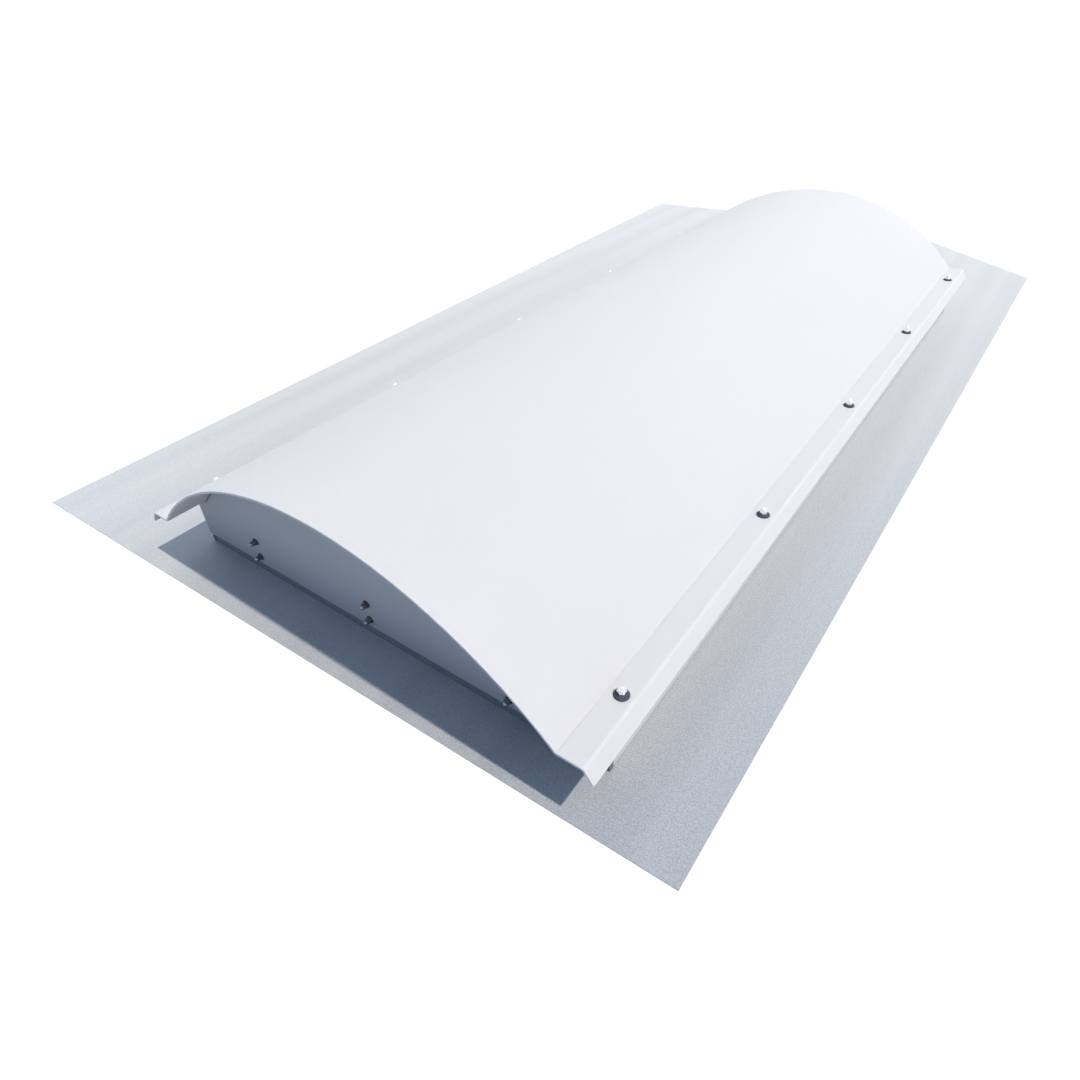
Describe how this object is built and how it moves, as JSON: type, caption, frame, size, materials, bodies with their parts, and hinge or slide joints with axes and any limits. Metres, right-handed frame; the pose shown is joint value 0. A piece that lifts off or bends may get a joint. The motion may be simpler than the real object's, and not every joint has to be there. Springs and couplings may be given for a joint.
{
  "type": "roof skylight",
  "caption": "Fixed barrel-vault roof skylight: a curved opal sheet with drip lips, bolted over a low metal kerb with closed ends, standing on a flat base flashing.",
  "frame": {"origin": "centre of the kerb and its daylight opening, on the underside of the flashing, which is the roof plane", "axes": "+Z away from the roof, +Y along the vault from the front end to the rear end, +X to the right seen from the front"},
  "size_m": [1.716, 3.248, 0.3168],
  "materials": {
    "opal_sheet": "opal white, glossy",
    "end_panel": "light grey, matt",
    "flashing": "grey coated, fine grain",
    "kerb": "white coated, satin",
    "rivet": "satin",
    "seal": "matt grey",
    "washer": "matt dark grey",
    "bolt": "plain zinc",
    "dome_nut": "polished",
    "plug": "matt black",
    "panel_nut": "blackened"
  },
  "bodies": {
    "root": {"flashing_left": "flashing", "flashing_centre": "flashing", "flashing_right": "flashing", "kerb_rail_left": "kerb", "kerb_rail_right": "kerb", "kerb_rail_front": "kerb", "kerb_rail_rear": "kerb", "corner_cleat_front_left": "kerb", "corner_cleat_front_right": "kerb", "corner_cleat_rear_left": "kerb", "corner_cleat_rear_right": "kerb", "cleat_rivets": "rivet", "foot_rivets": "rivet", "end_panel_front": "end_panel", "end_panel_rear": "end_panel", "foot_seal_front": "seal", "foot_seal_rear": "seal", "corner_plugs": "plug", "side_seal_left": "seal", "side_seal_right": "seal", "arch_seal_front": "seal", "arch_seal_rear": "seal", "vault_sheet": "opal_sheet", "flange_bolts_left": "bolt", "flange_bolts_right": "bolt", "flange_washers_left": "washer", "flange_washers_right": "washer", "flange_nuts_left": "dome_nut", "flange_nuts_right": "dome_nut", "panel_studs_front": "bolt", "panel_studs_rear": "bolt", "panel_washers_front": "washer", "panel_washers_rear": "washer", "panel_nuts_front": "panel_nut", "panel_nuts_rear": "panel_nut"}
  },
  "joints": []
}
